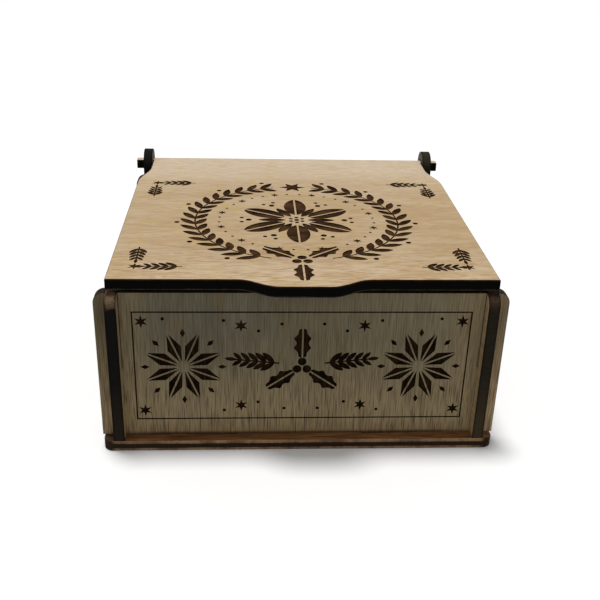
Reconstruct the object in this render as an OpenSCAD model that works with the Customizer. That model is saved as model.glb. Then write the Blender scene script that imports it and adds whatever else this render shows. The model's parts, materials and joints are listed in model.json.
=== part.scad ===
// Hinged keepsake box, cut from flat plywood sheet.
// Five panels lock together by slots and tabs, and a flat lid turns on two square pegs that are
// cut in one piece with it and sit in round holes in the ears of the side panels.
// Origin: centre of the walls' outline, on the underside. X to the right, Y to the back, Z up.
// All sizes are in millimetres.

/* [Sheet] */
// Thickness of the plywood
sheet_t = 3; // [2.5:0.1:3.6]
// Gap on each side of a panel or tab that sits in a slot
slot_gap = 0.1; // [0.05:0.05:0.25]

/* [Walls] */
// Width over the outer faces of the two side panels
box_w = 100; // [84:1:160]
// Depth over the outer faces of the front and back panels
box_d = 101.5; // [84:0.5:160]
// Height of the walls above the bottom panel
wall_h = 42.4; // [34:0.1:90]
// How far the walls run past each other at the corners
wall_lap = 3.2; // [2.4:0.1:6]
// Radius of the walls' rounded top corners, up to the width of their lap
wall_corner_r = 3; // [0.8:0.1:3]
// Height above the bottom panel at which the slots of two crossing walls meet
cross_h = 20.7; // [12:0.1:28]

/* [Bottom panel] */
// How far the bottom panel reaches past the front and back panels
base_front = 3.5; // [2:0.1:8]
// How far the bottom panel reaches past the side panels
base_side = 2.7; // [2:0.1:8]
// Radius of the bottom panel's corners
base_corner_r = 2.5; // [1:0.1:6]
// Width of each tab that ties a wall to the bottom panel
foot_tab_w = 14; // [8:1:18]
// Distance between the middles of the two tabs on each wall
foot_tab_pitch = 48; // [30:1:56]

/* [Lid] */
// How far the lid's front edge reaches past the front panel
lid_over = 1.2; // [0.4:0.1:4]
// How far each side edge of the lid stays within the side panels' outer faces
lid_inset = 0.3; // [0:0.1:1.5]
// Gap between the closed lid and the walls' top edges
lid_gap = 1.2; // [0.1:0.1:2]
// How far the finger tab reaches past the lid's front edge
finger_reach = 4.3; // [2.5:0.1:10]
// Length of the finger tab's straight edge
finger_flat_w = 13; // [8:1:40]
// Width of each curve that leads from the finger tab back to the lid's front edge
finger_curve_w = 10.5; // [4:0.5:16]
// Gap on each side between the lid's neck and the side panels
neck_gap = 0.2; // [0.1:0.05:0.5]
// Length of the parallel neck, from the lid's rear edge
neck_l = 11.5; // [9:0.5:20]
// Length of each curved shoulder between the lid's full width and its neck
shoulder_l = 14.6; // [6:0.1:30]

/* [Hinge] */
// Width of each square peg, front to back
peg_w = 3; // [2.4:0.1:3.6]
// How far each peg stands out of its side panel
peg_out = 2.6; // [0.5:0.1:6]
// Gap between the peg's corners and the hole that they turn in
peg_gap = 0.08; // [0.03:0.01:0.1]
// Radius of the ears that hold the pegs
ear_r = 5; // [4.2:0.1:7]
// Gap between the back panel's top edge and the lid's rear corner as it turns past
back_gap = 2.4; // [0.3:0.1:3]

/* [Hidden] */

// Facets of the round parts, and steps of one S-curve
$fn = 64;
CURVE_STEPS = 14;
// How far a cutter runs past the faces that it cuts
CUT = 1;

// Where the walls stand
front_y = -box_d / 2;
back_y = box_d / 2;
wall_foot = sheet_t;
wall_top = sheet_t + wall_h;
cross_z = sheet_t + cross_h;
corner_r = min(wall_corner_r, wall_lap - slot_gap);

// The turning lid: its underside, its axis, and the circle that its rear corners sweep
lid_z = wall_top + lid_gap;
hinge_y = back_y - peg_w / 2;
hinge_z = lid_z + sheet_t / 2;
peg_sweep_r = sqrt(peg_w * peg_w + sheet_t * sheet_t) / 2;
back_top = hinge_z - peg_sweep_r - back_gap;

// Colours of the sheet: pale on the lid, darker and greyer on the walls, brown on the bottom
LID_COLOR = [0.77, 0.67, 0.54];
WALL_COLOR = [0.44, 0.38, 0.29];
SIDE_COLOR = [0.36, 0.30, 0.23];
BASE_COLOR = [0.52, 0.38, 0.24];

// Points along a smooth S that leaves one point and reaches another lying along X at both ends
function s_curve(from, to) = [
    for (i = [0:CURVE_STEPS])
        let (u = i / CURVE_STEPS)
            [from.x + (to.x - from.x) * u,
             from.y + (to.y - from.y) * (1 - cos(180 * u)) / 2]
];

function swap(points) = [for (p = points) [p.y, p.x]];
function flip_x(points) = [for (i = [len(points) - 1:-1:0]) [-points[i].x, points[i].y]];

// An upright board from (x0, z0) to (x1, z1) whose two top corners are rounded
module board(x0, x1, z0, z1, r) {
    translate([x0, z0]) square([x1 - x0, z1 - r - z0]);
    translate([x0 + r, z0]) square([x1 - x0 - 2 * r, z1 - z0]);
    for (x = [x0 + r, x1 - r])
        translate([x, z1 - r]) circle(r);
}

// The pair of tabs under a wall, as deep as the bottom panel is thick
module foot_tabs() {
    for (s = [-1, 1])
        translate([s * foot_tab_pitch / 2 - foot_tab_w / 2, 0]) square([foot_tab_w, wall_foot]);
}

// The pair of slots that take those tabs, with their middle line at y
module foot_slots(y) {
    for (s = [-1, 1])
        translate([s * foot_tab_pitch / 2, y])
            square([foot_tab_w + 2 * slot_gap, sheet_t + 2 * slot_gap], center = true);
}

// Turns an outline drawn in X and Z into a panel with its outer face at y
module stand_across(y) {
    translate([0, y + sheet_t, 0]) rotate([90, 0, 0]) linear_extrude(sheet_t) children();
}

// Turns an outline drawn in Y and Z into a panel from x on
module stand_along(x) {
    translate([x, 0, 0]) rotate([90, 0, 90]) linear_extrude(sheet_t) children();
}

// Outline of a front or back wall, with its slots cut down from the top edge
module cross_wall(top) {
    half = box_w / 2 + wall_lap;
    slot_w = sheet_t + 2 * slot_gap;
    difference() {
        board(-half, half, wall_foot, top, corner_r);
        for (s = [-1, 1])
            translate([s * (box_w - sheet_t) / 2 - slot_w / 2, cross_z]) square([slot_w, top]);
    }
    foot_tabs();
}

// Outline of a side wall: slots cut up from its foot, and the hinge ear at its rear end
module side_wall() {
    slot_w = sheet_t + 2 * slot_gap;
    difference() {
        union() {
            board(front_y - wall_lap, hinge_y, wall_foot, wall_top, corner_r);
            translate([hinge_y - ear_r, wall_foot]) square([2 * ear_r, hinge_z - wall_foot]);
            translate([hinge_y, hinge_z]) circle(ear_r);
        }
        for (y = [front_y, back_y - sheet_t])
            translate([y - slot_gap, wall_foot - CUT]) square([slot_w, cross_z - wall_foot + CUT]);
    }
    foot_tabs();
}

module side_panel(x) {
    difference() {
        stand_along(x) side_wall();
        translate([x - CUT, hinge_y, hinge_z]) rotate([0, 90, 0])
            cylinder(h = sheet_t + 2 * CUT, r = peg_sweep_r + peg_gap);
    }
}

// The lid's outline seen from above: finger tab, front edge, shoulders, neck and pegs
module lid_outline() {
    edge = front_y - lid_over;
    half = box_w / 2 - lid_inset;
    neck = box_w / 2 - sheet_t - neck_gap;
    neck_y = back_y - neck_l;
    finger_half = finger_flat_w / 2;
    right = concat(
        s_curve([finger_half, edge - finger_reach], [finger_half + finger_curve_w, edge]),
        [[half, edge]],
        swap(s_curve([neck_y - shoulder_l, half], [neck_y, neck])),
        [[neck, back_y]]
    );
    polygon(concat(right, flip_x(right)));
    peg_end = box_w / 2 + peg_out;
    translate([-peg_end, back_y - peg_w]) square([2 * peg_end, peg_w]);
}

// The bottom panel's outline, with a slot under each tab
module floor_outline() {
    w = box_w + 2 * base_side;
    d = box_d + 2 * base_front;
    r = base_corner_r;
    difference() {
        union() {
            square([w - 2 * r, d], center = true);
            square([w, d - 2 * r], center = true);
            for (x = [-1, 1], y = [-1, 1])
                translate([x * (w / 2 - r), y * (d / 2 - r)]) circle(r);
        }
        for (s = [-1, 1]) {
            foot_slots(s * (box_d - sheet_t) / 2);
            rotate(90) foot_slots(s * (box_w - sheet_t) / 2);
        }
    }
}

module bottom_panel() {
    color(BASE_COLOR) linear_extrude(sheet_t) floor_outline();
}

module front_panel() {
    color(WALL_COLOR) stand_across(front_y) cross_wall(wall_top);
}

module back_panel() {
    color(WALL_COLOR) stand_across(back_y - sheet_t) cross_wall(back_top);
}

module left_side() {
    color(SIDE_COLOR) side_panel(-box_w / 2);
}

module right_side() {
    color(SIDE_COLOR) side_panel(box_w / 2 - sheet_t);
}

module lid() {
    color(LID_COLOR) translate([0, 0, lid_z]) linear_extrude(sheet_t) lid_outline();
}

bottom_panel();
front_panel();
back_panel();
left_side();
right_side();
lid();
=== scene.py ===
"""Looks of the hinged keepsake box: bare plywood panels, laser-cut and engraved."""

import json
import math

import bmesh
import bpy
from mathutils import Matrix, Vector


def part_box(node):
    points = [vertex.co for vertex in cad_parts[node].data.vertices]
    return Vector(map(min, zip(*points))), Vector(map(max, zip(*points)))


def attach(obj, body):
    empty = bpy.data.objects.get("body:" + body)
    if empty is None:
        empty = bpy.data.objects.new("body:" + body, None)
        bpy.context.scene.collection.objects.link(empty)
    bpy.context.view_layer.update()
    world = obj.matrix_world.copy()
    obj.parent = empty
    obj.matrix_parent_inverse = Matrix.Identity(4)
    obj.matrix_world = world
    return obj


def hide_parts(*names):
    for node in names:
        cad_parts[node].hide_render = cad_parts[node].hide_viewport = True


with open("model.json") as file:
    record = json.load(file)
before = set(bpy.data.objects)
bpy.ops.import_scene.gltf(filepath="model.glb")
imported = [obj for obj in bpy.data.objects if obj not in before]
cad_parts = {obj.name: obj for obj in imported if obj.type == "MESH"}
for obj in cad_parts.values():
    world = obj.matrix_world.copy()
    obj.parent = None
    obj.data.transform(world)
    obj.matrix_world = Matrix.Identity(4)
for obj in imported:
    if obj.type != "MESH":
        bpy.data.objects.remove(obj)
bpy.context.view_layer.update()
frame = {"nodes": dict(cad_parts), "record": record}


# ---- Bottom panel ------------------------------------------------------------------------------
# The floor of the box: 3 mm three-ply sheet, cut by laser, with slots for the feet of the walls.
# Its upper face is stained brown by smoke, and its cut edge shows the two face veneers as paler
# lines over and under a dark core.

MM = 0.001
X, Y, Z = range(3)
SHEET_T = 3 * MM
EDGE_BEVEL = 0.17 * MM
RIM_W = 0.7 * MM  # the strip of a cut edge, along each face of the sheet, that char can darken
MERGE = 0.001 * MM  # corners this close are one
NO_LENGTH = 0.00001 * MM  # an edge this short is none
FLAT_ANGLE = math.radians(1)
SMOOTH_ANGLE = math.radians(30)
FACE_NORMAL = 0.97  # how squarely a face of the sheet looks along the axis through it
BURNT = 2  # the place of the burnt finish on an engraved panel, after its face and its edge
FLECK_SHARE = 0.5
WOOD_GLOSS = 0.2
WOOD_RELIEF = 0.05 * MM
CHAR_GLOSS = 0.03
CHAR_ROUGHNESS = 0.75
CHAR_RELIEF = 0.12 * MM

FLOOR_TONES = ((154, 111, 68), (119, 79, 43), (116, 67, 30), (62, 38, 20))
FLOOR_PLIES = ((190, 154, 122), (196, 156, 118))
FLOOR_CORE = (62, 48, 36)
FLOOR_PLY_SHARE = 0.9
FLOOR_CORE_HALF = 0.7 * MM
FLOOR_PORES = 0.8
FLOOR_HATCH = 2.0
CORNER_DARK_FACE = 6.8 * MM
CORNER_CHAR_EDGE = 3.6 * MM
CORNER_DARK_FADE = 1.6 * MM


def rgb(red, green, blue):
    """A colour as a paint card gives it, turned into the light that it reflects."""
    parts = [c / 255 for c in (red, green, blue)]
    return tuple(p / 12.92 if p <= 0.04045 else ((p + 0.055) / 1.055) ** 2.4 for p in parts) + (1.0,)


def finish_node(tree, kind, inputs, **settings):
    """One node of a finish, with its settings, and with its sockets set or wired."""
    made = tree.nodes.new(kind)
    for name, value in settings.items():
        setattr(made, name, value)
    for socket, value in inputs.items():
        if isinstance(value, bpy.types.NodeSocket):
            tree.links.new(value, made.inputs[socket])
        else:
            made.inputs[socket].default_value = value
    return made


def math_node(tree, operation, *values, clamp=False):
    """One step of arithmetic on numbers or sockets."""
    return finish_node(tree, "ShaderNodeMath", dict(enumerate(values)), operation=operation,
                       use_clamp=clamp).outputs[0]


def fibre_noise(tree, sizes, detail, rough, shift):
    """Noise whose grains have these lengths in metres along X, Y and Z."""
    place = finish_node(tree, "ShaderNodeTexCoord", {}).outputs["Object"]
    scaled = finish_node(tree, "ShaderNodeMapping",
                         {"Vector": place, "Location": (shift, shift * 1.7, shift * 0.6),
                          "Scale": [1 / s for s in sizes]}).outputs["Vector"]
    return finish_node(tree, "ShaderNodeTexNoise",
                       {"Vector": scaled, "Scale": 1.0, "Detail": detail,
                        "Roughness": rough}).outputs["Fac"]


def ramp(tree, value, low, high):
    """A smooth 0 to 1 as the value goes from low to high."""
    return finish_node(tree, "ShaderNodeMapRange",
                       {"Value": value, "From Min": low, "From Max": high},
                       interpolation_type="SMOOTHSTEP").outputs["Result"]


def colour_mix(tree, share, first, second, blend_type="MIX"):
    """Mixes two colours by a share that is a number or a socket."""
    made = tree.nodes.new("ShaderNodeMix")
    made.data_type = "RGBA"
    made.blend_type = blend_type
    for socket, value in ((0, share), (6, first), (7, second)):
        if isinstance(value, bpy.types.NodeSocket):
            tree.links.new(value, made.inputs[socket])
        else:
            made.inputs[socket].default_value = value
    return made.outputs[2]


def lighten(tree, colour, light):
    """Multiplies a colour by one brightness."""
    grey = finish_node(tree, "ShaderNodeCombineColor", {0: light, 1: light, 2: light}).outputs[0]
    return colour_mix(tree, 1.0, colour, grey, "MULTIPLY")


def object_axis(tree, axis):
    """The place on the part along X, Y or Z, in metres."""
    place = finish_node(tree, "ShaderNodeTexCoord", {}).outputs["Object"]
    return finish_node(tree, "ShaderNodeSeparateXYZ", {"Vector": place}).outputs[axis]


def new_finish(name):
    """An empty finish and its tree of nodes."""
    made = bpy.data.materials.new(name)
    made.use_nodes = True
    made.node_tree.nodes.clear()
    return made, made.node_tree


def close_finish(tree, colour, roughness, gloss, bump, depth):
    """The shader at the end of a finish, with its gloss as a plain number and its bump in metres."""
    relief = finish_node(tree, "ShaderNodeBump", {"Height": bump, "Distance": depth, "Strength": 1.0})
    shader = finish_node(tree, "ShaderNodeBsdfPrincipled",
                         {"Base Color": colour, "Roughness": roughness, "Specular IOR Level": gloss,
                          "Normal": relief.outputs["Normal"]})
    finish_node(tree, "ShaderNodeOutputMaterial", {"Surface": shader.outputs[0]})


def axis_sizes(along, across, through, grain, face):
    """Puts the grain's length, width and depth on the axes that the grain and the face name."""
    sizes = [across] * 3
    sizes[grain] = along
    sizes[face] = through
    return sizes


def less(tree, share):
    """The rest of a share."""
    return math_node(tree, "SUBTRACT", 1.0, share)


def both(tree, first, second):
    """One share of another."""
    return math_node(tree, "MULTIPLY", first, second)


def lay_stains_and_light(tree, colour, stains_and_light):
    """Lays stains and painted light over a colour. Each is its share, a number or a socket, and its
    tone.
    """
    for share, tone in stains_and_light:
        colour = colour_mix(tree, share, colour, rgb(*tone))
    return colour


def veneer(tree, grain, face, tones, pore_share, shift, stains_and_light=(), length=1.0, hatch=1.4):
    """Bare face veneer: broad soft bands, streaks, groups of yellow flecks, fibres and dark pores.

    The tones are pale wood, mid wood, fleck and pore. The shift gives each panel its own piece of
    the grain. A length under 1 shortens the grain, and the hatch is how much the fibres differ in
    brightness."""
    pale, mid, fleck, pore = [rgb(*t) for t in tones]

    def noise(along, across, detail, rough, move):
        """Noise that runs with the grain, sized in millimetres."""
        sizes = axis_sizes(along * length * MM, across * MM, 40 * MM, grain, face)
        return fibre_noise(tree, sizes, detail, rough, shift + move)

    bands = noise(70, 11, 2, 0.5, 0)
    streaks = noise(22, 1.6, 3, 0.6, 11)
    groups = noise(18, 7, 1, 0.5, 23)
    flecks = noise(9, 1.2, 2, 0.5, 31)
    fibres = noise(9, 0.28, 2, 0.6, 37)
    pores = noise(8, 0.28, 2, 0.5, 51)
    tone = math_node(tree, "MULTIPLY_ADD", streaks, 0.55, both(tree, bands, 0.45))
    colour = colour_mix(tree, ramp(tree, tone, 0.34, 0.66), mid, pale)
    colour = lay_stains_and_light(tree, colour, stains_and_light)
    fleck_mask = both(tree, ramp(tree, flecks, 0.50, 0.68), ramp(tree, groups, 0.40, 0.62))
    colour = colour_mix(tree, both(tree, fleck_mask, FLECK_SHARE), colour, fleck)
    colour = lighten(tree, colour, math_node(tree, "MULTIPLY_ADD", fibres, hatch, 1.01 - hatch / 2))
    pore_mask = both(tree, ramp(tree, pores, 0.49, 0.67), pore_share)
    colour = colour_mix(tree, pore_mask, colour, pore)
    roughness = math_node(tree, "MULTIPLY_ADD", streaks, 0.2, 0.5)
    relief = math_node(tree, "SUBTRACT", fibres, pore_mask)
    close_finish(tree, colour, roughness, WOOD_GLOSS, relief, WOOD_RELIEF)


def burnt_edge(tree, face, middle, core, plies, ply_share, core_half, shift, stains_and_light=(),
               rim_char=0.0):
    """A laser-cut edge: charred core, face veneers a little paler, fine cut lines across it.

    face is the axis through the sheet, and middle is the sheet's mid-plane on that axis. The plies
    are the tones of the veneers below and above the mid-plane. The rim's char is how much darker the
    edge gets towards the sheet's two faces."""
    through = math_node(tree, "SUBTRACT", object_axis(tree, face), middle)
    depth = math_node(tree, "ABSOLUTE", through)
    cut_sizes = [0.3 * MM] * 3
    cut_sizes[face] = 4 * MM
    cuts = fibre_noise(tree, cut_sizes, 2, 0.6, shift)
    blotch = fibre_noise(tree, [3.5 * MM] * 3, 3, 0.6, shift + 7)
    rim = math_node(tree, "MULTIPLY_ADD", blotch, 0.3 * MM, depth)
    in_ply = ramp(tree, rim, core_half + 0.05 * MM, core_half + 0.25 * MM)
    patchy = math_node(tree, "MULTIPLY_ADD", ramp(tree, blotch, 0.35, 0.6), 0.5, 0.5)
    ply = colour_mix(tree, ramp(tree, through, -0.1 * MM, 0.1 * MM), rgb(*plies[0]), rgb(*plies[1]))
    colour = colour_mix(tree, both(tree, both(tree, in_ply, patchy), ply_share), rgb(*core), ply)
    colour = lay_stains_and_light(tree, colour, stains_and_light)
    at_rim = ramp(tree, depth, SHEET_T / 2 - RIM_W, SHEET_T / 2 - EDGE_BEVEL)
    colour = lighten(tree, colour, less(tree, both(tree, at_rim, rim_char)))
    colour = lighten(tree, colour, math_node(tree, "MULTIPLY_ADD", cuts, 0.9, 0.55))
    close_finish(tree, colour, CHAR_ROUGHNESS, CHAR_GLOSS, cuts, CHAR_RELIEF)


def sheet_copy(node, face):
    """A merged copy of one panel, its cut rims eased, its edge faces given the second finish."""
    bm = bmesh.new()
    bm.from_mesh(frame["nodes"][node].data)
    bmesh.ops.remove_doubles(bm, verts=bm.verts, dist=MERGE)
    bmesh.ops.dissolve_limit(bm, angle_limit=FLAT_ANGLE, verts=bm.verts, edges=bm.edges)
    bm.normal_update()
    rims = [e for e in bm.edges if len(e.link_faces) == 2
            and abs(abs(e.link_faces[0].normal[face]) - abs(e.link_faces[1].normal[face])) > 0.5]
    bmesh.ops.bevel(bm, geom=rims, offset=EDGE_BEVEL, offset_type="OFFSET", segments=1,
                    profile=0.5, affect="EDGES", material=-1, clamp_overlap=True)
    bmesh.ops.dissolve_degenerate(bm, dist=NO_LENGTH, edges=bm.edges)
    bm.normal_update()
    for f in bm.faces:
        f.material_index = 0 if abs(f.normal[face]) > FACE_NORMAL else 1
    return bm


def finish_panel(bm, name, node, body, finishes):
    """Turns the mesh into a piece that stands for its panel and moves with its body."""
    mesh = bpy.data.meshes.new(name)
    bm.to_mesh(mesh)
    bm.free()
    if mesh.has_custom_normals:
        mesh.attributes.remove(mesh.attributes["custom_normal"])
    piece = bpy.data.objects.new(name, mesh)
    bpy.context.scene.collection.objects.link(piece)
    for finish in finishes:
        mesh.materials.append(finish)
    mesh.set_sharp_from_angle(angle=SMOOTH_ANGLE)
    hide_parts(node)
    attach(piece, body)


def mid_plane(node, face):
    """Where the middle of a panel's thickness lies on the axis through the sheet."""
    low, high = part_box(node)
    return (low[face] + high[face]) / 2


def corner_darkening(tree, left_only, reach):
    """A share that is whole at the floor's corners: char over all layers of the cut edge, a darker
    top face.

    It is for the front left corner alone, or for all four."""
    x = object_axis(tree, X)
    y = object_axis(tree, Y)
    if left_only:
        out = math_node(tree, "MULTIPLY", math_node(tree, "ADD", x, y), -1.0)
    else:
        out = math_node(tree, "ADD", math_node(tree, "ABSOLUTE", x), math_node(tree, "ABSOLUTE", y))
    start = floor_top.x + floor_top.y - reach
    return ramp(tree, out, start, start + CORNER_DARK_FADE)


floor_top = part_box("bottom_panel")[1]
floor_face, tree = new_finish("smoked floor veneer")
veneer(tree, X, Z, FLOOR_TONES, FLOOR_PORES, 3,
       [(corner_darkening(tree, True, CORNER_DARK_FACE), FLOOR_CORE)], hatch=FLOOR_HATCH)
floor_edge, tree = new_finish("floor cut edge")
burnt_edge(tree, Z, SHEET_T / 2, FLOOR_CORE, FLOOR_PLIES, FLOOR_PLY_SHARE, FLOOR_CORE_HALF, 3,
           [(corner_darkening(tree, False, CORNER_CHAR_EDGE), FLOOR_CORE)])
finish_panel(sheet_copy("bottom_panel", Z), "floor_sheet", "bottom_panel", "box",
             (floor_face, floor_edge))


# ---- Front panel -------------------------------------------------------------------------------
# The front wall, its veneer with upright grain, slotted from above over the two side panels.
# A thin frame and a winter ornament are engraved in it, burnt nearly black.

# The walls' tones are darker and greyer than the lid's, though it is the same plywood: partly painted
# shade.
SHADED_WALL_TONES = ((134, 127, 104), (114, 107, 84), (134, 110, 74), (54, 42, 28))
# A warm pale tone: a stain to the right, and painted light towards the floor and beside the frame.
WARM_TONE_AND_LIGHT = (187, 165, 125)
WALL_SMOKE = (146, 110, 68)
WALL_SCORCH = (58, 36, 16)
WALL_CORE = (40, 32, 24)
WALL_PLIES = ((104, 82, 58), (104, 82, 58))
WALL_PLY_SHARE = 0.6
WALL_CORE_HALF = 0.9 * MM
WALL_RIM_CHAR = 0.75
BURN_DARK, BURN_LIGHT = (20, 13, 6), (54, 38, 22)
BURN_ROUGHNESS = 0.9
BURN_RELIEF = 0.08 * MM

# Stains and painted light of an upright panel: how high each reaches, how its top wanders, its share
# The first line is the painted light that makes an upright panel lighter and warmer towards the
# floor.
FLOOR_LIGHT_TOP, FLOOR_LIGHT_WANDER = 34 * MM, 16 * MM
SMOKE_TOP, SMOKE_WANDER, SMOKE_SHARE = 8 * MM, 10 * MM, 0.25
SCORCH_TOP, SCORCH_SHARE = 4.2 * MM, 0.9
SIDE_WARM_REACH, SIDE_WARM_WANDER, SIDE_WARM_SHARE = 90 * MM, 60 * MM, 0.4
FRONT_PORES, FRONT_PORES_LOW = 0.3, 0.45  # everywhere, and what is added towards the floor
PORES_TOP = 42 * MM

# Front panel laps past the sides (painted shade above, light below); strips beside its frame (painted
# light)
LAP_SHADE, LAP_SHADE_SHARE = (84, 70, 50), 0.5
LAP_PALE = (206, 180, 140)
RIGHT_PALE_SHARE = 0.25
LAP_LOW_SHARE, RIGHT_LOW_SHARE = 0.6, 0.8
LAP_LOW_TOP, LAP_LOW_WANDER = 40 * MM, 6 * MM
LAP_FADE = 0.4 * MM
LAP_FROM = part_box("right_side")[1].x
BESIDE_LIGHT_SHARE, BESIDE_FADE = 0.35, 6 * MM

# The engraving, drawn in millimetres
FRAME_HALF_W = 43.7
FRAME_LOW, FRAME_HIGH = 7.9, 39.9
FRAME_LINE = 0.38
TWIG_TILT = 38
ROUND_SIDES = 20
BIG_STAR_X, BIG_STAR_R = 31, 11
SMALL_STARS = ((41.5, 37.2), (41.5, 10.6), (16, 36), (16, 12))
FRONT_DOTS = ((20.5, 37.5), (20.5, 10.5), (11.5, 34.5), (11.5, 13), (5.5, 36.5), (4.5, 11),
              (36, 38))
FRONT_DOT_R = 0.45

CUT_DEPTH = 0.3 * MM
CUT_ROOM = 0.5 * MM
SQUARE = 9 * MM


def set_down(bm, made, at, turn, size=(1.0, 1.0)):
    """Sizes, turns and places the vertices of one new cut. All cuts are drawn in millimetres."""
    matrix = (Matrix.Translation((at[0], at[1], 0)) @ Matrix.Rotation(math.radians(turn), 4, "Z")
              @ Matrix.Diagonal((size[0], size[1], 1, 1)))
    bmesh.ops.transform(bm, matrix=matrix, verts=made["verts"])


def polar(at, radius, angle):
    """The point that lies at a distance and an angle from another."""
    a = math.radians(angle)
    return at[0] + radius * math.cos(a), at[1] + radius * math.sin(a)


def cut_dot(bm, at, radius):
    """A round dot."""
    made = bmesh.ops.create_circle(bm, cap_ends=True, segments=ROUND_SIDES, radius=radius)
    set_down(bm, made, at, 0)


def cut_star(bm, at, outer, inner, points, turn=0.0):
    """A star whose arms reach the outer radius, with the inner one between them."""
    made = bmesh.ops.create_circle(bm, cap_ends=True, segments=2 * points, radius=outer)
    for k, v in enumerate(made["verts"]):
        v.co *= 1 if k % 2 == 0 else inner / outer
    set_down(bm, made, at, turn)


def cut_line(bm, start, end, width):
    """A straight line with square ends."""
    made = bmesh.ops.create_grid(bm, x_segments=1, y_segments=1, size=0.5)
    across = Vector(end) - Vector(start)
    middle = (Vector(end) + Vector(start)) / 2
    set_down(bm, made, middle, math.degrees(math.atan2(across.y, across.x)), (across.length, width))


def cut_arc(bm, at, radius, first, last, width, step=4.0):
    """A band of a ring from the first angle to the last."""
    ends = [bm.verts.new((at[0] + radius + side * width / 2, at[1], 0)) for side in (-1, 1)]
    edge = bm.edges.new(ends)
    bmesh.ops.rotate(bm, cent=(at[0], at[1], 0), verts=ends,
                     matrix=Matrix.Rotation(math.radians(first), 3, "Z"))
    bmesh.ops.spin(bm, geom=ends + [edge], cent=(at[0], at[1], 0), axis=(0, 0, 1),
                   angle=math.radians(last - first), steps=round(abs(last - first) / step))


def leaf_rim(along):
    """Half the width of a slim leaf, from 0 at its ends to 1 in its middle."""
    return (4 * along * (1 - along)) ** 0.85


def petal_rim(along):
    """The same for a fuller petal."""
    return (4 * along * (1 - along)) ** 0.6


def diamond_rim(along):
    """The same with straight sides."""
    return 1 - abs(2 * along - 1)


def holly_rim(along):
    """The same for a holly leaf, hollowed between its prickles."""
    return (4 * along * (1 - along)) ** 0.45 * (1 - 0.42 * abs(math.sin(3 * math.pi * along)) ** 0.8)


def cut_leaf(bm, at, turn, length, width, rim=leaf_rim, sides=ROUND_SIDES, rib=0.0):
    """A leaf that starts at a point. Its rim is a function of the way along it.

    With a rib, only the half to the left (above 0) or to the right of that uncut rib is kept."""
    made = bmesh.ops.create_circle(bm, cap_ends=True, segments=sides, radius=0.5)
    for v in made["verts"]:
        along = min(max(v.co.x + 0.5, 0.0), 1.0)
        v.co = (along, math.copysign(rim(along) / 2, v.co.y), 0)
    set_down(bm, made, at, turn, (length, width))
    if rib:
        side = Vector((*polar((0, 0), 1, turn + math.copysign(90, rib)), 0))
        leaf = made["verts"] + list({e for v in made["verts"] for e in v.link_edges})
        leaf += list({f for v in made["verts"] for f in v.link_faces})
        bmesh.ops.bisect_plane(bm, geom=leaf, clear_inner=True, plane_no=side,
                               plane_co=Vector((*at, 0)) + side * abs(rib) * width / 2)


def cut_split_leaf(bm, at, turn, length, width, rim, rib=0.08, sides=48):
    """A leaf in two halves beside an uncut rib, with its rim a function of the way along it."""
    for side in (-1, 1):
        cut_leaf(bm, at, turn, length, width, rim, sides, side * rib)


def cut_sprig(bm, start, turn, length, pairs, leaf, width, stem=0.45):
    """A straight twig with pairs of leaves and one at its tip."""
    cut_line(bm, start, polar(start, length, turn), stem)
    for k in range(pairs):
        knot = polar(start, length * (k + 0.6) / (pairs + 0.4), turn)
        grow = 1 - 0.35 * k / pairs
        for side in (-1, 1):
            cut_leaf(bm, knot, turn + side * TWIG_TILT, leaf * grow, width * grow)
    cut_leaf(bm, polar(start, length * 0.98, turn), turn, leaf * 0.7, width * 0.7)


def cut_holly(bm, at, turns, length, width, berry):
    """A bunch of holly leaves round three berries."""
    for turn in turns:
        cut_split_leaf(bm, polar(at, berry * 2.3, turn), turn, length, width, holly_rim)
    for turn in (90, 210, 330):
        cut_dot(bm, polar(at, berry * 1.3, turn), berry)


def cut_blossom(bm, at, radius):
    """A winter flower: six broad petals, six narrow ones between them, and a dotted middle."""
    cut_dot(bm, at, radius * 0.045)
    for k in range(6):
        out = 90 + 60 * k
        cut_dot(bm, polar(at, radius * 0.11, out), radius * 0.035)
        cut_split_leaf(bm, polar(at, radius * 0.24, out), out, radius * 0.76, radius * 0.38,
                       petal_rim)
        cut_leaf(bm, polar(at, radius * 0.18, out + 30), out + 30, radius * 0.46, radius * 0.15)
        cut_dot(bm, polar(at, radius * 0.80, out + 30), radius * 0.05)
        for side in (-1, 1):
            cut_dot(bm, polar(at, radius * 0.92, out + 30 + side * 6), radius * 0.035)


def cut_eight_star(bm, at, radius):
    """The eight-armed star of knitting patterns, with a small diamond between the arms."""
    for k in range(8):
        out = 22.5 + 45 * k
        cut_split_leaf(bm, polar(at, radius * 0.07, out), out, radius * 0.93, radius * 0.34,
                       diamond_rim, rib=0.12, sides=4)
        cut_leaf(bm, polar(at, radius * 0.80, out + 22.5), out + 22.5, radius * 0.22,
                 radius * 0.12, diamond_rim, sides=4)


def burn(tree, dark, light, grain, shift):
    """The bottom and walls of an engraved line: matt brown char, streaky along the grain."""
    sizes = [0.5 * MM] * 3
    sizes[grain] = 5 * MM
    speck = fibre_noise(tree, sizes, 2, 0.6, shift)
    patch = fibre_noise(tree, [5 * MM] * 3, 2, 0.5, shift + 3)
    share = ramp(tree, math_node(tree, "ADD", speck, patch), 0.8, 1.25)
    colour = colour_mix(tree, share, rgb(*dark), rgb(*light))
    close_finish(tree, colour, BURN_ROUGHNESS, CHAR_GLOSS, speck, BURN_RELIEF)


def divide_sheet(bm, face):
    """Splits a panel's mesh into squares, so that no face of the engraved one is long and thin."""
    for axis in (X, Y, Z):
        places = [v.co[axis] for v in bm.verts]
        low, high = min(places), max(places)
        squares = math.ceil((high - low) / SQUARE) if axis != face else 1
        for k in range(1, squares):
            along = Vector((0, 0, 0))
            along[axis] = 1
            cut = along * (low + (high - low) * k / squares)
            bmesh.ops.bisect_plane(bm, geom=bm.verts[:] + bm.edges[:] + bm.faces[:], dist=MERGE,
                                   plane_co=cut, plane_no=along)


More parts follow.
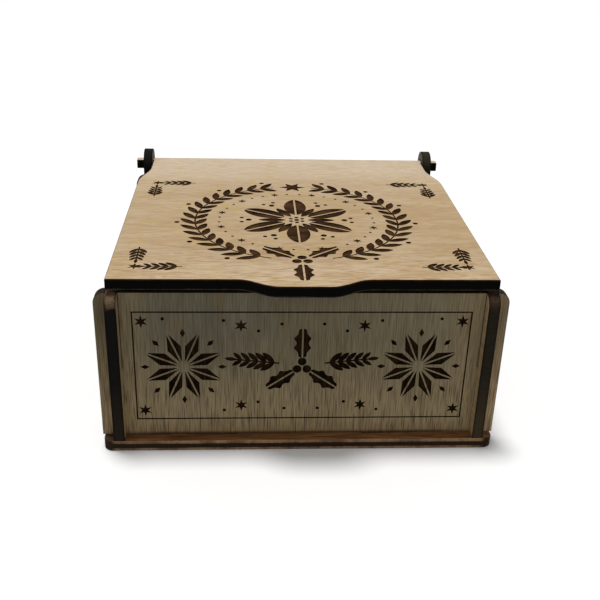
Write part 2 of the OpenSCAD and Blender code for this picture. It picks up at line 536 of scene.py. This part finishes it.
def engrave(name, bm, cuts, place, burnt):
    """Sinks the drawn cuts into a panel's mesh as pockets with burnt floors and walls."""
    bmesh.ops.scale(cuts, vec=(MM, MM, MM), verts=cuts.verts)
    grown = bmesh.ops.extrude_face_region(cuts, geom=cuts.faces[:])
    top = [g for g in grown["geom"] if isinstance(g, bmesh.types.BMVert)]
    bmesh.ops.translate(cuts, vec=(0, 0, CUT_DEPTH + CUT_ROOM), verts=top)
    bmesh.ops.translate(cuts, vec=(0, 0, -CUT_DEPTH), verts=cuts.verts)
    bmesh.ops.transform(cuts, matrix=place, verts=cuts.verts)
    bmesh.ops.recalc_face_normals(cuts, faces=cuts.faces)
    for f in cuts.faces:
        f.material_index = burnt
    tools = []
    for part, mesh_bm in ((name + " blank", bm), (name + " cutter", cuts)):
        mesh = bpy.data.meshes.new(part)
        mesh_bm.to_mesh(mesh)
        tool = bpy.data.objects.new(part, mesh)
        bpy.context.scene.collection.objects.link(tool)
        for k in range(burnt + 1):
            mesh.materials.append(None)
        tools.append(tool)
    blank, cutter = tools
    sink = blank.modifiers.new("engraving", "BOOLEAN")
    sink.object = cutter
    sink.operation = "DIFFERENCE"
    sink.solver = "EXACT"
    sink.use_self = True
    ready = blank.evaluated_get(bpy.context.evaluated_depsgraph_get())
    bm.clear()
    bm.from_mesh(ready.to_mesh())
    ready.to_mesh_clear()
    bmesh.ops.dissolve_degenerate(bm, dist=NO_LENGTH, edges=bm.edges)
    for tool in tools:
        bpy.data.objects.remove(tool)
    cuts.free()


def front_ornament():
    """A thin frame round holly and sprigs between two eight-armed stars, with stars and dots."""
    cuts = bmesh.new()
    middle = (FRAME_LOW + FRAME_HIGH) / 2
    half = FRAME_HALF_W + FRAME_LINE / 2
    for z in (FRAME_LOW, FRAME_HIGH):
        cut_line(cuts, (-half, z), (half, z), FRAME_LINE)
    for x in (-FRAME_HALF_W, FRAME_HALF_W):
        cut_line(cuts, (x, FRAME_LOW), (x, FRAME_HIGH), FRAME_LINE)
    for side in (-1, 1):
        aim = 90 - side * 90
        cut_eight_star(cuts, (side * BIG_STAR_X, middle), BIG_STAR_R)
        cut_sprig(cuts, (side * 6, middle + 1), aim + side * 6, length=11.5, pairs=5, leaf=4.4,
                  width=1.6)
        for x, z in SMALL_STARS:
            cut_star(cuts, (side * x, z), outer=1.9, inner=0.75, points=6)
        for x, z in FRONT_DOTS:
            cut_dot(cuts, (side * x, z), FRONT_DOT_R)
    cut_holly(cuts, (0, middle), (90, 215, 325), length=8.6, width=5.4, berry=1.15)
    return cuts


def near_floor(tree, top, wander=0.0):
    """A share that is whole at the floor panel and fades to nothing at a height."""
    drift = fibre_noise(tree, [11 * MM, 11 * MM, 70 * MM], 2, 0.5, 5)
    height = math_node(tree, "MULTIPLY_ADD", math_node(tree, "SUBTRACT", drift, 0.5), wander,
                       object_axis(tree, Z))
    return less(tree, ramp(tree, height, SHEET_T, top))


def foot_stains_and_light(tree):
    """Warmer to one side, painted light (lighter, warmer) towards the floor, smoke and scorch at the
    foot.
    """
    drift = fibre_noise(tree, [12 * MM, 12 * MM, 60 * MM], 2, 0.5, 8)
    to_right = math_node(tree, "MULTIPLY_ADD", drift, SIDE_WARM_WANDER, object_axis(tree, X))
    # The second entry is painted light, making the panel lighter and warmer towards the floor.
    return [(both(tree, ramp(tree, to_right, 0, SIDE_WARM_REACH), SIDE_WARM_SHARE), WARM_TONE_AND_LIGHT),
            (near_floor(tree, FLOOR_LIGHT_TOP, FLOOR_LIGHT_WANDER), WARM_TONE_AND_LIGHT),
            (both(tree, near_floor(tree, SMOKE_TOP, SMOKE_WANDER), SMOKE_SHARE), WALL_SMOKE),
            (both(tree, near_floor(tree, SCORCH_TOP), SCORCH_SHARE), WALL_SCORCH)]


def lap_light_and_shade(tree):
    """Painted light beside the frame; past the sides painted shade above, painted light below; right
    lap paler.
    """
    x = object_axis(tree, X)
    off_middle = math_node(tree, "ABSOLUTE", x)
    right = ramp(tree, x, LAP_FROM, LAP_FROM + LAP_FADE)
    lap = ramp(tree, off_middle, LAP_FROM, LAP_FROM + LAP_FADE)
    low = near_floor(tree, LAP_LOW_TOP, LAP_LOW_WANDER)
    beside = ramp(tree, off_middle, FRAME_HALF_W * MM - BESIDE_FADE, FRAME_HALF_W * MM)
    # The first entry is painted light against the bars' shade; the dark lap is painted shade, the
    # pale lows painted light.
    return [(both(tree, beside, BESIDE_LIGHT_SHARE), WARM_TONE_AND_LIGHT),
            (both(tree, lap, LAP_SHADE_SHARE), LAP_SHADE),
            (both(tree, right, RIGHT_PALE_SHARE), LAP_PALE),
            (both(tree, both(tree, lap, low), LAP_LOW_SHARE), LAP_PALE),
            (both(tree, both(tree, right, low), RIGHT_LOW_SHARE), LAP_PALE)]


front_face, tree = new_finish("front veneer")
pores = math_node(tree, "MULTIPLY_ADD", near_floor(tree, PORES_TOP), FRONT_PORES_LOW,
                  FRONT_PORES)
veneer(tree, Z, Y, SHADED_WALL_TONES, pores, 5, foot_stains_and_light(tree) + lap_light_and_shade(tree))
front_edge, tree = new_finish("front cut edge")
burnt_edge(tree, Y, mid_plane("front_panel", Y), WALL_CORE, WALL_PLIES, WALL_PLY_SHARE,
           WALL_CORE_HALF, 5, rim_char=WALL_RIM_CHAR)
front_burn, tree = new_finish("front engraving")
burn(tree, BURN_DARK, BURN_LIGHT, Z, 2)
front_bm = sheet_copy("front_panel", Y)
divide_sheet(front_bm, Y)
front_face_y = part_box("front_panel")[0].y
upright = Matrix.Translation((0, front_face_y, 0)) @ Matrix.Rotation(math.radians(90), 4, "X")
engrave("front", front_bm, front_ornament(), upright, BURNT)
finish_panel(front_bm, "front_sheet", "front_panel", "box",
             (front_face, front_edge, front_burn))


# ---- Back panel --------------------------------------------------------------------------------
# The back wall is the front's twin without engraving, cut lower so that the lid can turn over it.
# It is the same 3 mm sheet, bare, with upright grain, and locks over the sides as the front does.

BACK_PORES = 0.4

back_face, tree = new_finish("back veneer")
veneer(tree, Z, Y, SHADED_WALL_TONES, BACK_PORES, 9, foot_stains_and_light(tree))
back_edge, tree = new_finish("back cut edge")
burnt_edge(tree, Y, mid_plane("back_panel", Y), WALL_CORE, WALL_PLIES, WALL_PLY_SHARE,
           WALL_CORE_HALF, 9, rim_char=WALL_RIM_CHAR)
finish_panel(sheet_copy("back_panel", Y), "back_sheet", "back_panel", "box",
             (back_face, back_edge))


# ---- Side panels -------------------------------------------------------------------------------
# Two side walls of the same bare sheet, grain lengthwise, slotted from below under the front and
# back panels. The hinge ears are cut in one piece with them, and the edges are burnt dark.

SIDE_CORES = {"left_side": (30, 29, 28), "right_side": (52, 47, 38)}
SIDE_PLIES = ((84, 62, 42), (84, 62, 42))
# Painted light: the bars' cut edges get lighter towards the floor.
BAR_LOW_LIGHTS = {"left_side": (66, 54, 42), "right_side": (94, 80, 62)}
# A painted highlight, with thinner char, on the bars' rounded tops.
BAR_TOP_HIGHLIGHTS = {"left_side": (116, 96, 74), "right_side": (68, 52, 42)}
BAR_FACE = (196, 164, 120)
BAR_FACE_SHARE, BAR_FACE_LESS, BAR_FACE_TOP = 0.75, -0.4, 46 * MM
BAR_LOW_TOP, BAR_LOW_SHARE = 26 * MM, 0.6
BAR_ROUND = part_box("front_panel")[1].z - 2.2 * MM
BAR_REAR = -46 * MM
SIDE_PLY_SHARE = 0.2
SIDE_CORE_HALF = 1.2 * MM
SIDE_RIM_CHAR = 0.5
SIDE_PORES = 0.4
HINGE = (0, *frame["record"]["behaviour"]["joints"][0]["pos_m"][1:])
EAR_DARK = (46, 36, 28)
EAR_DARK_IN, EAR_DARK_OUT = 4.5 * MM, 8 * MM


def ear_darkening(tree):
    """A darker tone round the hinge hole, over the whole ear."""
    place = finish_node(tree, "ShaderNodeTexCoord", {}).outputs["Object"]
    flat = finish_node(tree, "ShaderNodeVectorMath", {0: place, 1: (0, 1, 1)}, operation="MULTIPLY")
    away = finish_node(tree, "ShaderNodeVectorMath", {0: flat.outputs[0], 1: HINGE},
                       operation="DISTANCE").outputs["Value"]
    return less(tree, ramp(tree, away, EAR_DARK_IN, EAR_DARK_OUT))


def bar_top_highlight(tree):
    """The rounded top of the bar that a side panel shows in front: a painted highlight, and thinner
    char.
    """
    blotch = fibre_noise(tree, [1.6 * MM] * 3, 2, 0.6, 4)
    height = math_node(tree, "MULTIPLY_ADD", blotch, 3 * MM, object_axis(tree, Z))
    high = ramp(tree, height, BAR_ROUND, BAR_ROUND + 1.5 * MM)
    in_front = less(tree, ramp(tree, object_axis(tree, Y), BAR_REAR - 2 * MM, BAR_REAR))
    return both(tree, both(tree, high, in_front), ramp(tree, blotch, 0.32, 0.5))


def bar_face(tree):
    """The faces of the bars that stand out in front of the front panel, paler towards the top."""
    ahead = less(tree, ramp(tree, object_axis(tree, Y), front_face_y - 0.6 * MM, front_face_y))
    share = math_node(tree, "MULTIPLY_ADD", near_floor(tree, BAR_FACE_TOP), BAR_FACE_LESS,
                      BAR_FACE_SHARE)
    return both(tree, ahead, share)


side_face, tree = new_finish("side veneer")
veneer(tree, Y, X, SHADED_WALL_TONES, SIDE_PORES, 13,
       foot_stains_and_light(tree) + [(bar_face(tree), BAR_FACE), (ear_darkening(tree), EAR_DARK)])
for side, core in SIDE_CORES.items():
    edge, tree = new_finish(side + " cut edge")
    burnt_edge(tree, X, mid_plane(side, X), core, SIDE_PLIES, SIDE_PLY_SHARE, SIDE_CORE_HALF, 15,
               [(both(tree, near_floor(tree, BAR_LOW_TOP), BAR_LOW_SHARE), BAR_LOW_LIGHTS[side]),
                (bar_top_highlight(tree), BAR_TOP_HIGHLIGHTS[side])], rim_char=SIDE_RIM_CHAR)
    finish_panel(sheet_copy(side, X), side.replace("side", "sheet"), side, "box",
                 (side_face, edge))


# ---- Lid ---------------------------------------------------------------------------------------
# The flat lid, its pale veneer with the grain running across the box, cut in one with its finger
# tab and hinge pegs. A leafy wreath round a winter flower is engraved in it, burnt dark brown.

LID_TONES = ((204, 184, 154), (180, 152, 112), (184, 160, 84), (150, 104, 58))
# The tone towards the hinge is a painted sheen.
LID_FAR_SHEEN = (200, 181, 156)
LID_SMOKE = (160, 131, 92)
LID_CORE = (10, 9, 8)
LID_PLIES = ((84, 78, 60), (72, 46, 26))
LID_PLY_SHARE = 0.7
LID_CORE_HALF = 1.15 * MM
LID_BURN_DARK, LID_BURN_LIGHT = (36, 20, 8), (76, 53, 31)
LID_GRAIN_L = 0.45
LID_HATCH = 0.8

# Where the lid's marks begin and end: painted sheen at its rear, smoke round the wreath, the front's
# pores
FAR_FROM, FAR_TO, FAR_WANDER = 15 * MM, 60 * MM, 20 * MM
SMOKE_IN, SMOKE_OUT, LID_SMOKE_SHARE = 28 * MM, 52 * MM, 0.4
SMOKE_NARROW = 0.55  # the smoke spreads further along X, and this is X's share in its distance
SMOKE_FRONT, SMOKE_WHOLE = -54 * MM, -36 * MM
LID_PORES, LID_PORES_FRONT = 0.3, 0.36  # everywhere, and what is added towards the front
PORES_FROM, PORES_TO = -15 * MM, -45 * MM

# The engraving, drawn in millimetres and degrees
WREATH_AT = (0.0, -10.0)
WREATH_R = 29.5
WREATH_LINE = 0.5
WREATH_FIRST, WREATH_LAST = -74, 78
LEAF_PAIRS, FIRST_PAIR, PAIR_STEP = 17, -68, 8.6
BLOSSOM_R = 17.5
DOT_RING_R, DOT_RING_COUNT = 22.6, 36
CORNER_X = 43.2
CORNERS = ((-44, -1), (23, 1))  # the Y of a corner's star, and which way its upright sprig grows


def mirrored(angle, side):
    """The angle itself on the right, and its mirror image on the left."""
    return angle if side > 0 else 180 - angle


def lid_ornament():
    """A flower in a ring of dots and a wreath with holly and a star, and sprigs in the corners."""
    cuts = bmesh.new()
    cut_blossom(cuts, WREATH_AT, BLOSSOM_R)
    for side in (-1, 1):
        first, last = sorted((mirrored(WREATH_FIRST, side), mirrored(WREATH_LAST, side)))
        cut_arc(cuts, WREATH_AT, WREATH_R, first, last, WREATH_LINE)
        for k in range(LEAF_PAIRS):
            a = FIRST_PAIR + PAIR_STEP * k
            knot = polar(WREATH_AT, WREATH_R, mirrored(a, side))
            for tilt, leaf in ((-36, 6.6), (40, 5.6)):
                cut_leaf(cuts, knot, mirrored(a + 90 + tilt, side), leaf, 2.3)
            if k % 3 == 1:
                cut_dot(cuts, polar(WREATH_AT, WREATH_R + 5.2, mirrored(a + 4, side)), 0.75)
    cut_holly(cuts, polar(WREATH_AT, WREATH_R, -90), (40, 140, 270), length=10, width=6.4,
              berry=1.3)
    cut_star(cuts, polar(WREATH_AT, WREATH_R, 90), outer=4.2, inner=1.9, points=6, turn=30)
    for k in range(DOT_RING_COUNT):
        at = polar(WREATH_AT, DOT_RING_R, 15 + 360 / DOT_RING_COUNT * k)
        if k % 3 == 0:
            cut_star(cuts, at, outer=1.5, inner=0.6, points=6)
        else:
            cut_dot(cuts, at, 0.42)
    for side in (-1, 1):
        for y, up in CORNERS:
            cut_sprig(cuts, (side * 31, y), 90 - side * 90, length=9.5, pairs=4, leaf=4.0, width=1.5)
            cut_sprig(cuts, (side * CORNER_X, y - up * 13), up * 90, length=8.5, pairs=4, leaf=3.8,
                      width=1.4)
            cut_star(cuts, (side * CORNER_X, y), outer=2.0, inner=0.8, points=6)
    return cuts


def join_floors(bm, up, burnt):
    """Joins the flat pieces that overlapping cuts leave on the floors of the engraving."""
    bm.normal_update()
    floors = {f for f in bm.faces if f.material_index == burnt and f.normal.dot(up) > FACE_NORMAL}
    bmesh.ops.dissolve_limit(bm, angle_limit=FLAT_ANGLE,
                             verts=[v for v in bm.verts if floors.issuperset(v.link_faces)],
                             edges=[e for e in bm.edges if floors.issuperset(e.link_faces)])


def lid_sheen_and_smoke(tree):
    """A painted sheen makes the lid greyer towards the hinge; it is smoked round its engraving."""
    drift = fibre_noise(tree, [70 * MM, 11 * MM, 40 * MM], 2, 0.5, 1)
    back = ramp(tree, math_node(tree, "MULTIPLY_ADD", drift, FAR_WANDER, object_axis(tree, Y)),
                FAR_FROM, FAR_TO)
    place = finish_node(tree, "ShaderNodeTexCoord", {}).outputs["Object"]
    flat = finish_node(tree, "ShaderNodeVectorMath", {0: place, 1: (SMOKE_NARROW, 1, 0)},
                       operation="MULTIPLY")
    middle = (WREATH_AT[0] * MM, WREATH_AT[1] * MM, 0)
    away = finish_node(tree, "ShaderNodeVectorMath", {0: flat.outputs[0], 1: middle},
                       operation="DISTANCE").outputs["Value"]
    smoke = both(tree, less(tree, ramp(tree, away, SMOKE_IN, SMOKE_OUT)),
                 ramp(tree, object_axis(tree, Y), SMOKE_FRONT, SMOKE_WHOLE))
    return [(back, LID_FAR_SHEEN), (both(tree, smoke, LID_SMOKE_SHARE), LID_SMOKE)]


lid_face, tree = new_finish("lid veneer")
to_front = ramp(tree, object_axis(tree, Y), PORES_FROM, PORES_TO)
pores = math_node(tree, "MULTIPLY_ADD", to_front, LID_PORES_FRONT, LID_PORES)
veneer(tree, X, Z, LID_TONES, pores, 1, lid_sheen_and_smoke(tree), length=LID_GRAIN_L,
       hatch=LID_HATCH)
lid_edge, tree = new_finish("lid cut edge")
burnt_edge(tree, Z, mid_plane("lid", Z), LID_CORE, LID_PLIES, LID_PLY_SHARE, LID_CORE_HALF, 1)
lid_burn, tree = new_finish("lid engraving")
burn(tree, LID_BURN_DARK, LID_BURN_LIGHT, X, 4)
lid_bm = sheet_copy("lid", Z)
divide_sheet(lid_bm, Z)
lid_top = Matrix.Translation((0, 0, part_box("lid")[1].z))
engrave("lid", lid_bm, lid_ornament(), lid_top, BURNT)
join_floors(lid_bm, Vector((0, 0, 1)), BURNT)
finish_panel(lid_bm, "lid_sheet", "lid", "lid", (lid_face, lid_edge, lid_burn))


# ---- Table, light and camera -------------------------------------------------------------------
# A plain white table under a soft lamp, high above it and a little behind, in even white light
# from all round, seen from where the picture was taken.

SENSOR_W = 36.0
FOCAL_PX = 885.5
PICTURE_PX = 600.0
CAMERA_AT = (-14.7 * MM, -252.7 * MM, 141.3 * MM)
CAMERA_TURN = (64.17, -1.58, -3.10)
WHITE = (1, 1, 1, 1)
TABLE_HALF = 0.7
TABLE_BOUNCE = 0.3  # how bright the table is as a reflector, while the camera sees it white
TABLE_LIFT = 0.05
AIR_LIGHT = 0.34
LAMP_W, LAMP_D = 0.9, 1.1
LAMP_WATTS = 136
LAMP_AT = (-0.4, 0.47, 4.4)


def plainly_seen(tree):
    """1 where the camera looks, straight, in a gloss or through a clear piece, and else 0."""
    path = finish_node(tree, "ShaderNodeLightPath", {})
    mirror_or_clear = math_node(tree, "ADD", path.outputs["Is Glossy Ray"],
                                path.outputs["Is Transmission Ray"])
    return math_node(tree, "ADD", path.outputs["Is Camera Ray"], mirror_or_clear, clamp=True)


camera_data = bpy.data.cameras.new("camera")
camera_data.sensor_width = SENSOR_W
camera_data.lens = FOCAL_PX / PICTURE_PX * SENSOR_W
camera = bpy.data.objects.new("camera", camera_data)
camera.location = CAMERA_AT
camera.rotation_euler = [math.radians(a) for a in CAMERA_TURN]
bpy.context.scene.collection.objects.link(camera)
bpy.context.scene.camera = camera

bm = bmesh.new()
bmesh.ops.create_grid(bm, x_segments=1, y_segments=1, size=TABLE_HALF)
table_mesh = bpy.data.meshes.new("table")
bm.to_mesh(table_mesh)
bm.free()
table = bpy.data.objects.new("table", table_mesh)
bpy.context.scene.collection.objects.link(table)
table_finish, tree = new_finish("white table")
seen = plainly_seen(tree)
table_colour = colour_mix(tree, seen, (TABLE_BOUNCE, TABLE_BOUNCE, TABLE_BOUNCE, 1), WHITE)
matt = finish_node(tree, "ShaderNodeBsdfDiffuse", {"Color": table_colour})
lift = both(tree, seen, TABLE_LIFT)
glow = finish_node(tree, "ShaderNodeEmission", {"Color": WHITE, "Strength": lift})
surface = finish_node(tree, "ShaderNodeAddShader", {0: matt.outputs[0], 1: glow.outputs[0]})
finish_node(tree, "ShaderNodeOutputMaterial", {"Surface": surface.outputs[0]})
table_mesh.materials.append(table_finish)

world = bpy.data.worlds.new("studio")
world.use_nodes = True
bpy.context.scene.world = world
tree = world.node_tree
tree.nodes.clear()
strength = math_node(tree, "MULTIPLY_ADD", plainly_seen(tree), 1 - AIR_LIGHT, AIR_LIGHT)
air = finish_node(tree, "ShaderNodeBackground", {"Color": WHITE, "Strength": strength})
finish_node(tree, "ShaderNodeOutputWorld", {"Surface": air.outputs[0]})

lamp_data = bpy.data.lights.new("soft lamp", "AREA")
lamp_data.shape = "ELLIPSE"
lamp_data.size = LAMP_W
lamp_data.size_y = LAMP_D
lamp_data.energy = LAMP_WATTS
lamp = bpy.data.objects.new("soft lamp", lamp_data)
lamp.location = LAMP_AT
lamp.rotation_euler = (Vector((0, 0, 0)) - lamp.location).to_track_quat("-Z", "Y").to_euler()
bpy.context.scene.collection.objects.link(lamp)

bpy.context.scene.view_settings.view_transform = "Standard"
